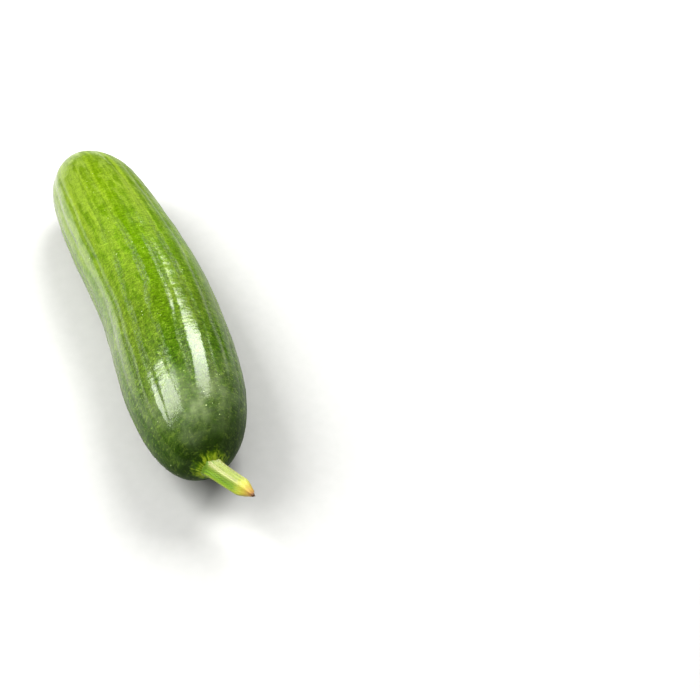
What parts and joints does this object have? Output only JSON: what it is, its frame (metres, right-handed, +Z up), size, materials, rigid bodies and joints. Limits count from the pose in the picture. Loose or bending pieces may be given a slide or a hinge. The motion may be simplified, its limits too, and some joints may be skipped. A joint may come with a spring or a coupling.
{
  "type": "cucumber",
  "caption": "Small green slicing cucumber lying on its side, gently bowed, with shallow furrows along it, a corky blossom scar and a torn ribbed stem stub.",
  "frame": {"origin": "middle of the narrow flat on the underside that the fruit rests on", "axes": "+X along the fruit towards the stem end, +Y to the side that the fruit bows to, +Z up"},
  "size_m": [0.1692, 0.039, 0.0374],
  "materials": {
    "skin": "waxy satin skin, dark green at the stem end to yellow green at the blossom end",
    "stalk": "fresh ribbed stalk, yellow green, dry and straw brown at the tear"
  },
  "bodies": {
    "root": {"fruit": "skin", "stem": "stalk"}
  },
  "joints": []
}
